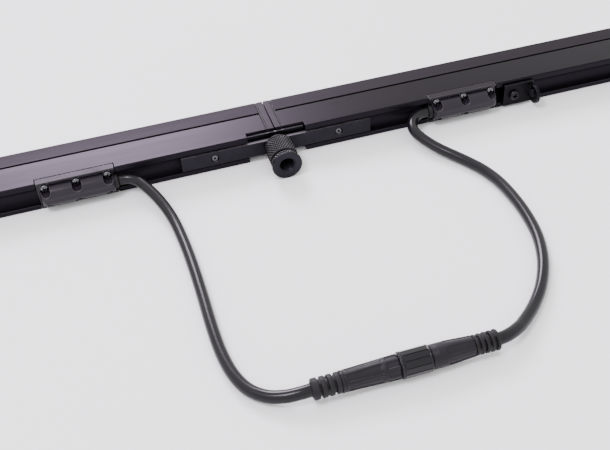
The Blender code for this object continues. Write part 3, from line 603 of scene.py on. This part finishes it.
def gland_bulge(bm, x0, x1, rounds):
    """Half-round bulge over the cable, closing in at its two ends by their own rounds."""
    centre_y, full, sunk, steps = BACK - 0.3, 6.8, 0.6, 8
    length, sign = abs(x1 - x0), 1 if x1 > x0 else -1
    quarter = [math.radians(90 * k / steps) for k in range(steps + 1)]
    first, last = rounds
    spans = [(first * (1 - math.cos(a)), full - first * (1 - math.sin(a))) for a in quarter]
    for a in reversed(quarter):
        spans.append((length - last * (1 - math.cos(a)), full - last * (1 - math.sin(a))))
    rings = []
    for along, radius in spans:
        reach = math.degrees(math.acos((BOX_LEDGE_Y + sunk - centre_y) / radius))
        outline = arc((centre_y, MID_Z), (radius, radius), 360 - reach, reach, 44)
        rings.append([bm.verts.new(spot(x0 + sign * along, y, z)) for y, z in outline])
    bm.faces.new(rings[0])
    bm.faces.new(reversed(rings[-1]))
    for ring, other in zip(rings, rings[1:]):
        for i in range(len(ring)):
            j = (i + 1) % len(ring)
            bm.faces.new((ring[j], ring[i], other[i], other[j]))


def gland_box(place, side, sign):
    """Moulded box over the cable's entry, with six screws in wells and a grommet in its mouth."""
    low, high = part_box(f"gland_box_{place}_{side}")
    start, end = sorted((abs(low.x) / MM, abs(high.x) / MM))
    bm = bmesh.new()
    gland_base(bm, sign * start, sign * end)
    shell = add_object(f"gland_shell_{place}_{side}", bm)
    set_in, mouth_round, tail_round = 1.3, 1.6, 3.4
    rounds = (mouth_round, tail_round) if place == "joint" else (tail_round, mouth_round)
    span = (sign * (start + set_in), sign * (end - set_in))
    carve(shell, lambda bm: gland_bulge(bm, *span, rounds), "UNION")
    screw_inset, pilot_radius = 4.6, 1.3
    xs = (start + screw_inset, (start + end) / 2, end - screw_inset)
    zs = (3.7, 15.3)

    def pockets(bm):
        profile = [(0, 0), (0, 2.8), (4.5, 2.8), (9, 3.4), (9, 0)]
        for x in xs:
            for z in zs:
                turned(bm, profile, 48, axis_place(spot(sign * x, BOX_LEDGE_Y, z), (0, -1, 0)))

    def pilots(bm):
        for x in xs:
            for z in zs:
                rod(bm, spot(sign * x, BOX_LEDGE_Y - 1, z), (0, 1, 0), pilot_radius, 6, 24)

    mouth, outward = (start, -sign) if place == "joint" else (end, sign)
    cable_y, socket_radius = BACK - 0.5, 4.9

    def socket(bm):
        rod(bm, spot(sign * mouth + outward, cable_y, MID_Z), (-outward, 0, 0), socket_radius, 4)

    carve(shell, pockets)
    carve(shell, pilots)
    carve(shell, socket)
    dress(shell, "moulded", nodes=[f"gland_box_{place}_{side}"], edge="moulded_edge",
          round_by=0.25)
    back_y = spot(0, BACK, 0).y
    repaint(shell, "strip", lambda face: abs(face.normal.z) > 0.7 and face.center.y > back_y)

    head_radius, head_out, shank, length, recess, recess_depth = 2.45, 3.25, 1.0, 5.4, 1.5, 1.4
    places = [(x, z) for z in zs for x in xs]
    for number, (x, z) in enumerate(places, 1):
        nodes = [f"gland_screw_{side}_{number}"] if place == "joint" else ()
        cross_screw(f"box_screw_{place}_{side}_{number}", spot(sign * x, BOX_LEDGE_Y, z), (0, 1, 0),
                    pan_head(head_radius, head_out, shank, length), recess, -head_out, recess_depth,
                    nodes, twist=0.35 * number + sign)

    bm = bmesh.new()
    hole = CABLE_R + 0.12
    rows = [(-1.1, hole), (-1.1, 3.8), (-0.8, 4.1), (-0.3, 4.2), (2.6, 4.5), (2.6, hole)]
    if place == "far":              # no cable comes out here, so the grommet is closed
        rows = [(-0.4, 0), (-0.6, 2.6), (-1.2, 3.4), (-1.2, 3.9), (-0.8, 4.5), (2.6, 4.5), (2.6, 0)]
    turned(bm, rows, 64, axis_place(spot(sign * mouth, cable_y, MID_Z), (-outward, 0, 0)))
    dress(add_object(f"grommet_{place}_{side}", bm), "rubber",
          nodes=[f"cable_grommet_{place}_{side}"], round_by=0.10)


# Joint hardware

def painted_light_faces(face):
    """A plate's long narrow faces, top and bottom; they get a much lighter steel, a painted highlight where
    the top catches the light.
    """
    return abs(face.normal.z) > 0.7


def splice():
    """Splice plate with its two screws, and the key plate behind it."""
    low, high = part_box("splice_plate")
    x = high.x / MM
    face, back = (low.y - BATTEN_Y) / MM, (high.y - BATTEN_Y) / MM
    bm = bmesh.new()
    block(bm, (-x, face, low.z / MM), (x, back, high.z / MM))
    plate = add_object("joint_plate", bm)
    stud_hole, key_hole = 3.4, 3.3

    def holes(bm):
        rod(bm, spot(0, face - 2, MID_Z), (0, 1, 0), stud_hole, 8)
        profile = [(-2, 0), (-2, 2.5), (1.6, 2.5), (1.6, 1.75), (6, 1.75), (6, 0)]
        for screw_x in (-SPLICE_SCREW_X, SPLICE_SCREW_X):
            turned(bm, profile, 48, axis_place(spot(screw_x, face, MID_Z), (0, 1, 0)))

    carve(plate, holes)
    dress(plate, "steel", nodes=["splice_plate"], edge="steel_edge", round_by=0.25)
    # The splice plate's narrow faces get the lighter steel: painted light.
    repaint(plate, "steel_painted_top_light", painted_light_faces)
    for side, sign in SIDES:
        profile = [(0.45, 0), (0.45, 1.7), (0.75, 2.1), (1.3, 2.1), (1.3, 1.4), (9.4, 1.4), (9.4, 0)]
        cross_screw("plate_screw_" + side, spot(sign * SPLICE_SCREW_X, face, MID_Z), (0, 1, 0), profile,
                    1.2, 0.45, 0.7, ["splice_screw_" + side], twist=0.9 * sign)

    low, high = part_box("key_plate")
    bm = bmesh.new()
    front, rear = (low.y - BATTEN_Y) / MM, (high.y - BATTEN_Y) / MM
    block(bm, (low.x / MM, front, low.z / MM), (high.x / MM, rear, high.z / MM))
    key = add_object("joint_key", bm)
    carve(key, lambda bm: rod(bm, spot(0, front - 1, MID_Z), (0, 1, 0), key_hole, 4))
    dress(key, "steel", nodes=["key_plate"], edge="steel_edge", round_by=0.15)
    # The key plate's narrow faces get the lighter steel: painted light.
    repaint(key, "steel_painted_top_light", painted_light_faces)


def stud():
    """Draw stud with an M6 thread and its collar."""
    low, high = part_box("draw_stud")
    tip, end = (low.y - BATTEN_Y) / MM, (high.y - BATTEN_Y) / MM
    tail, gap = 1.4, 0.3
    collar = end - tail - gap
    thick, wide = 0.8, 4.2
    pitch, depth, radius = 1.0, 0.32, 3.0
    rows = [(tip, 0), (tip, radius - 0.6)]
    steps = int((collar - thick - tip - 0.8) / (pitch / 8))
    for k in range(steps + 1):
        along = tip + 0.6 + k * pitch / 8
        rows.append((along, lambda a, s=along: radius - depth * triangle(s / pitch + a / TURN)))
    rows += [(collar - thick, radius - 0.1), (collar - thick, wide - 0.1), (collar - 0.7, wide)]
    rows += [(collar - 0.1, wide), (collar, wide - 0.1), (collar, radius), (end, radius), (end, 0)]
    bm = bmesh.new()
    turned(bm, rows, 64, axis_place(spot(0, 0, MID_Z), (0, 1, 0)))
    dress(add_object("stud_threaded", bm), "bright_steel", nodes=["draw_stud"], sharp=60)


def coupler():
    """Diamond-knurled sleeve with a groove, a plain chamfered end and a threaded bore."""
    low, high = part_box("coupler_sleeve")
    base, end = -(high.y - BATTEN_Y) / MM, -(low.y - BATTEN_Y) / MM
    radius, lip, count, pitch, depth = 9.1, 9.4, 32, 2.60, 0.50
    clearance = 3.4
    segments = count * 8

    def knurl(along):
        """Two crossing threads leave diamonds standing."""
        def at(angle):
            u, v = count * angle / TURN, along / pitch
            return radius - depth * (1 - min(1 - triangle(u + v), 1 - triangle(u - v)))
        return at

    def band(start, stop):
        steps = max(8, round((stop - start) / (pitch / 8)))
        places = [start + (stop - start) * k / steps for k in range(steps + 1)]
        return [(along, knurl(along)) for along in places]

    groove_out, groove_in = end - 4.6, end - 5.7
    rows = [(base, clearance), (base, radius - 0.8), (base + 0.45, radius - 0.35)]
    rows += band(base + 0.6, groove_in - 0.25)
    rows += [(groove_in, radius - 0.55), (groove_in, radius - 1.0), (groove_out, radius - 1.0)]
    rows += [(groove_out, radius - 0.55)]
    rows += band(groove_out + 0.2, end - 1.9)
    rows += [(end - 1.75, radius - 0.35), (end - 1.5, lip - 0.1), (end - 1.35, lip), (end - 0.5, lip)]
    rows += [(end - 0.15, lip - 0.15), (end, lip - 0.5), (end, 5.65), (end - 0.08, 5.5), (end - 0.7, 4.9)]
    thread_pitch, thread_depth, thread_radius, bore_depth = 1.5, 0.55, 4.9, 12.0

    def thread(along):
        def at(angle):
            return thread_radius - thread_depth * (1 - triangle(along / thread_pitch + angle / TURN))
        return at

    steps = int((bore_depth - 1.2) / (thread_pitch / 8))
    for k in range(steps + 1):
        along = end - 0.8 - k * thread_pitch / 8
        rows.append((along, thread(along)))
    rows += [(end - bore_depth, thread_radius), (end - bore_depth, clearance)]
    bm = bmesh.new()
    turned(bm, rows, segments, axis_place(spot(0, 0, MID_Z), (0, -1, 0)))
    sleeve = add_object("knurled_coupler", bm)
    dress(sleeve, "knurl", body="coupler", nodes=["coupler_sleeve"], sharp=25)

    def place_of(face):
        """How far along the axis a face lies, and how far from it."""
        return -(face.center.y - BATTEN_Y) / MM, math.hypot(face.center.x, face.center.z - MID_Z * MM) / MM

    def plain(face):
        along, out = place_of(face)
        return along > end - 1.8 or out < radius - 1.2 or along < base + 0.5

    shade_below, tip_above = radius - depth * 0.50, radius - depth * 0.20
    repaint(sleeve, "steel", plain)
    # The knurl's grooves are painted near-black as shade.
    repaint(sleeve, "recess_shade", lambda face: place_of(face)[1] < shade_below)
    # The diamond tips get the lighter steel: partly worn bare, partly a painted glint.
    repaint(sleeve, "knurl_tips_wear_and_glint", lambda face: place_of(face)[1] > tip_above)

    low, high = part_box("thrust_washer")
    near, far = -(high.y - BATTEN_Y) / MM, -(low.y - BATTEN_Y) / MM
    bm = bmesh.new()
    wide, ease = 8.5, 0.2
    rows = [(near, clearance), (near, wide - ease), (near + ease, wide), (far - ease, wide)]
    rows += [(far, wide - ease), (far, clearance)]
    turned(bm, rows, 96, axis_place(spot(0, 0, MID_Z), (0, -1, 0)))
    dress(add_object("coupler_washer", bm), "rubber", body="coupler_carriage",
          nodes=["thrust_washer"], round_by=0.08)


def safety_eye():
    """Bracket in the rear channel with a round ear that stands out of it, and its screw."""
    low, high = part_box("safety_eye")
    x0, x1 = low.x / MM, high.x / MM
    plate = 2.2
    back = BACK - 0.3
    front = back - plate
    edge = low.z / MM
    ear_x = x1 - plate
    bm = bmesh.new()
    block(bm, (x0, front, edge), (ear_x + 0.01, back, HEIGHT - edge))
    base = add_object("bracket_eye", bm)
    centre = (BACK - 6.5, MID_Z)
    radius = 6.1
    reach = math.degrees(math.acos((front - centre[0]) / radius))
    ear = [(front, edge), (back, edge), (back, HEIGHT - edge), (front, HEIGHT - edge)]
    ear += arc(centre, (radius, radius), reach, 360 - reach, 48)
    carve(base, lambda bm: prism(bm, ear, ear_x, x1), "UNION")
    screw_x, eye_radius, screw_hole = 159.5, 3.1, 2.3

    def holes(bm):
        rod(bm, spot(ear_x - 2, *centre), (1, 0, 0), eye_radius, 6)
        rod(bm, spot(screw_x, front - 2, MID_Z), (0, 1, 0), screw_hole, 6)

    carve(base, holes)
    dress(base, "steel_dark", nodes=["safety_eye"], edge="steel", round_by=0.35)
    profile = [(-2.4, 0), (-2.4, 1.7), (-2.2, 2.4), (-1.7, 3.0), (-1.1, 3.3), (-0.3, 3.4), (-0.3, 1.9)]
    profile += [(11.0, 1.9), (11.0, 0)]
    cross_screw("bracket_screw", spot(screw_x, front, MID_Z), (0, 1, 0), profile, 1.9, -2.4, 1.7,
                ["eye_screw"], twist=0.25, look="steel_edge")


# Connector and cables

CONNECTOR = Vector((0.0, -0.194, 0.0071))
SPIGOT_RADIUS = 5.0
SPIGOT_BORE = 3.5
SHELL_STEP = 0.16
PANEL_DEPTH = 0.60
LIP_ROUND = 0.25


def span_of(node_name):
    """Where a node starts and ends along X, in millimetres."""
    low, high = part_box(node_name)
    return low.x / MM, high.x / MM


def sleeve(bm, start, stop, step, radius, segments, inner_start=0.0, inner_stop=0.0):
    """Turned shell along X whose radius is a function of place and angle, closed by flat ends."""
    count = max(2, round((stop - start) / step))
    rows = [(start, inner_start)]
    for k in range(count + 1):
        along = start + (stop - start) * k / count
        rows.append((along, lambda angle, s=along: radius(s, angle)))
    rows.append((stop, inner_stop))
    turned(bm, rows, segments, axis_place(CONNECTOR, (1, 0, 0)))


def strain_relief(name, node_name, toward_cable, rings):
    """Ribbed boot: rings on a thin core, with two bridges in each groove, turned from groove to groove."""
    x0, x1 = span_of(node_name)
    length = x1 - x0
    flange = 3.0 if rings == 3 else 1.6
    widest, taper, crowning, groove, groove_depth, bridge_rise = 5.35, 0.10, 0.12, 1.25, 1.60, 1.20
    ring = (length - flange - rings * groove) / rings
    start = x0 if toward_cable < 0 else x1

    def radius(x, angle):
        along = (x - start) * -toward_cable
        outer = widest - taper * along / length
        if along < flange:
            return outer - 0.30 * (1 - smooth(along / 0.35)) - 0.25 * smooth((along - flange + 0.3) / 0.3)
        step = (along - flange) % (ring + groove)
        number = int((along - flange) / (ring + groove))
        in_groove = window(step, 0.0, groove, 0.16)
        turn = angle + (math.pi / 2) * (number % 2)
        bridge = window(abs(math.sin(turn)), -1.0, 0.40, 0.12)
        crown = crowning * (2 * (step - groove) / ring - 1) ** 4 if step > groove else 0.0
        return outer - crown - in_groove * (groove_depth - bridge_rise * bridge)

    bm = bmesh.new()
    sleeve(bm, x0, x1, 0.12, radius, 128)
    boot = add_object(name, bm)
    dress(boot, "rubber", nodes=[node_name], sharp=60)
    bm = bmesh.new()
    rows = [(-0.6, CABLE_R + 0.1), (-0.6, 4.3), (0.1, 4.3), (0.5, 3.9), (0.5, CABLE_R + 0.1)]
    turned(bm, rows, 96, axis_place(CONNECTOR + Vector((start * MM, 0, 0)), (toward_cable, 0, 0)))
    collar = add_object(name + "_collar", bm)
    dress(collar, "rubber", round_by=0.08)
    return [boot, collar]


def around_of(angle, count):
    """Place within one of count equal panels round a turned piece, from 0 to 1."""
    return (angle * count / TURN) % 1.0


def plug():
    """Plug housing: long panels toward the cable, short ones toward the nut, a plain spigot under it."""
    x0, x1 = span_of("plug_body")
    shoulder = x1 - 7.0

    def radius(x, angle):
        if x > shoulder:
            return SPIGOT_RADIUS
        base = 5.45 + 0.75 * smooth((x - x0) / (shoulder - x0) * 0.9 + 0.05)
        half = 0.30 + 0.10 * smooth((x - x0 - 3) / 14)
        across = window(around_of(angle, 6), 0.5 - half, 0.5 + half, 0.10)
        long_panel = window(x, x0 + 2.8, shoulder - 8.6, 1.4) * across
        across = window(around_of(angle, 8), 0.17, 0.83, 0.10)
        short_panel = window(x, shoulder - 6.2, shoulder + 5, 0.5) * across
        seam = window(x, x0 + 1.4, x0 + 1.8, 0.3)
        lip = 1 - smooth((shoulder - x) / 0.5)
        return base - PANEL_DEPTH * (long_panel + short_panel) - 0.30 * seam - LIP_ROUND * lip

    bm = bmesh.new()
    sleeve(bm, x0, x1, SHELL_STEP, radius, 192, inner_stop=SPIGOT_BORE)
    made = add_object("plug_shell", bm)
    return dress(made, "moulded_shell", nodes=["plug_body"], sharp=60)


def socket():
    """Socket housing: three fine rings, then panels with rounded ends toward the cable."""
    x0, x1 = span_of("socket_body")
    start = x0 + 6.6

    def radius(x, angle):
        if x < start:
            return SPIGOT_RADIUS
        base = 6.2 - 0.9 * smooth((x - start - 6) / (x1 - start - 4))
        around = around_of(angle, 6)
        nose = math.sqrt(max(0.0, 1 - min(1.0, abs(around - 0.5) / 0.34) ** 2))
        begin = start + 9.5 - 2.2 * nose
        panel = window(x, begin, x1 + 5, 0.6) * window(around, 0.16, 0.84, 0.09)
        rings = sum(window(x, start + at, start + at + 0.35, 0.25) for at in (0.9, 1.8, 2.7))
        lip = 1 - smooth((x - start) / 0.5)
        return base - PANEL_DEPTH * panel - 0.20 * rings - LIP_ROUND * lip

    bm = bmesh.new()
    sleeve(bm, x0, x1, SHELL_STEP, radius, 192, inner_start=SPIGOT_BORE)
    made = add_object("socket_shell", bm)
    return dress(made, "moulded_shell", nodes=["socket_body"], sharp=60)


def nut():
    """Coupling nut: crowned ribs with grooves between them, and fine teeth at its plug end."""
    x0, x1 = span_of("coupling_nut")
    widest, bore, ribs, tooth_count, edge_round = 6.85, 5.4, 12, 36, 0.40

    def radius(x, angle):
        ribbed = window(x, x0 + 1.7, x1 - 0.7, 0.5)
        around = around_of(angle, ribs)
        flat = 0.40 - 0.40 * (2 * around - 1) ** 2
        groove = 0.40 * (window(around, -0.06, 0.06, 0.06) + window(around, 0.94, 1.06, 0.06))
        teeth = window(x, x0 + 0.2, x0 + 1.2, 0.3) * 0.22 * triangle(angle * tooth_count / TURN)
        ends = edge_round * (2 - smooth((x - x0) / 0.5) - smooth((x1 - x) / 0.5))
        neck = 0.35 * window(x, x0 + 1.25, x0 + 1.55, 0.2)
        return widest - ribbed * (flat * 0.6 + groove) - teeth - ends - neck

    bm = bmesh.new()
    sleeve(bm, x0, x1, 0.12, radius, 288, bore, bore)
    return dress(add_object("nut_shell", bm), "gloss_nut", body="connector_nut",
                 nodes=["coupling_nut"], sharp=60)


def connector():
    """Mated plug and socket with their boots; the coupling nut turns."""
    plug_shell, socket_shell, nut_shell = plug(), socket(), nut()
    plug_boot = strain_relief("plug_relief", "plug_boot", -1, 3)
    socket_boot = strain_relief("socket_relief", "socket_boot", 1, 4)
    return plug_boot + [plug_shell, nut_shell], socket_boot + [socket_shell]


def smooth_route(points, steps=12):
    """Catmull-Rom curve through the given points."""
    knots = [Vector(p) * MM for p in points]
    ends = [2 * knots[0] - knots[1]] + knots + [2 * knots[-1] - knots[-2]]
    fine = []
    for i in range(1, len(ends) - 2):
        a, b, c, d = ends[i - 1:i + 3]
        for k in range(steps):
            t = k / steps
            fine.append(0.5 * (2 * b + (c - a) * t + (2 * a - 5 * b + 4 * c - d) * t ** 2
                               + (3 * b - a - 3 * c + d) * t ** 3))
    return fine + [knots[-1]]


def cable(name, points, node_name):
    """Round cable on its route, as a curve."""
    curve = bpy.data.curves.new(name, "CURVE")
    curve.dimensions = "3D"
    curve.bevel_depth = CABLE_R * MM
    curve.bevel_resolution = 10
    curve.use_fill_caps = True
    route = smooth_route(points)
    spline = curve.splines.new("POLY")
    spline.points.add(len(route) - 1)
    for point, place in zip(spline.points, route):
        point.co = (*place, 1.0)
    spline.use_smooth = True
    curve.materials.append(LOOKS["jacket"])
    made = bpy.data.objects.new(name, curve)
    scene.collection.objects.link(made)
    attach(made, "root")
    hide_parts(node_name)
    return made


def cords():
    """Connector and both cables."""
    plug_side, socket_side = connector()
    left = cable("link_cable_plug", PLUG_ROUTE, "cable_plug_side")
    right = cable("link_cable_socket", SOCKET_ROUTE, "cable_socket_side")


def carried_over():
    """CAD nodes that stay as they are, hidden inside the battens and the connector."""
    looks = {"led_board": "white_board", "driver_board": "green_board", "end_gasket": "rubber",
             "splice_spacer": "bright_steel", "contact_insert": "insert", "o_ring": "rubber"}
    for name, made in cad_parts.items():
        for start, look in looks.items():
            if name.startswith(start):
                made.data.materials.clear()
                made.data.materials.append(LOOKS[look])


# Studio

ROOM_LIGHT = 1.9


def floor():
    """Pale paper, 8 m across."""
    bm = bmesh.new()
    bmesh.ops.create_grid(bm, x_segments=1, y_segments=1, size=4.0)
    made = add_object("floor", bm)
    look = surface("paper", (0.80, 0.80, 0.80), (0.83, 0.83, 0.83), (0.75, 0.85), 0.0, ROUND, 60.0, 0.0,
                   2.0, specular=0.1)
    made.data.materials.append(look)


def area_light(name, place, target, size, power, colour):
    """Rectangular softbox at place, facing target."""
    data = bpy.data.lights.new(name, "AREA")
    data.shape = "RECTANGLE"
    data.size, data.size_y = size
    data.energy = power
    data.color = colour
    made = bpy.data.objects.new(name, data)
    made.location = place
    made.rotation_euler = (Vector(target) - Vector(place)).to_track_quat("-Z", "Y").to_euler()
    scene.collection.objects.link(made)


def studio():
    """A strong softbox behind, a smaller one overhead on the left, and a pale room."""
    floor()
    tint = (1.0, 0.895, 1.05)
    area_light("softbox", (-0.15, 1.65, 1.20), (-0.05, 0.0, 0.0), (0.80, 0.8), 60.0, tint)
    area_light("overhead", (-0.60, -0.35, 1.35), (-0.05, -0.05, 0.0), (0.42, 0.42), 17.0, tint)
    world = bpy.data.worlds.new("room")
    world.use_nodes = True
    background = world.node_tree.nodes["Background"]
    background.inputs["Color"].default_value = (1.0, 1.0, 1.0, 1.0)
    background.inputs["Strength"].default_value = ROOM_LIGHT
    scene.world = world


def main():
    """Builds everything."""
    add_camera()
    cords()
    for side, sign in SIDES:
        rear_body(side, sign)
        front_frame(side, sign)
        lens(side, sign)
        end_caps(side, sign)
        for place in PLACES:
            gland_box(place, side, sign)
    splice()
    stud()
    coupler()
    safety_eye()
    carried_over()
    studio()


main()
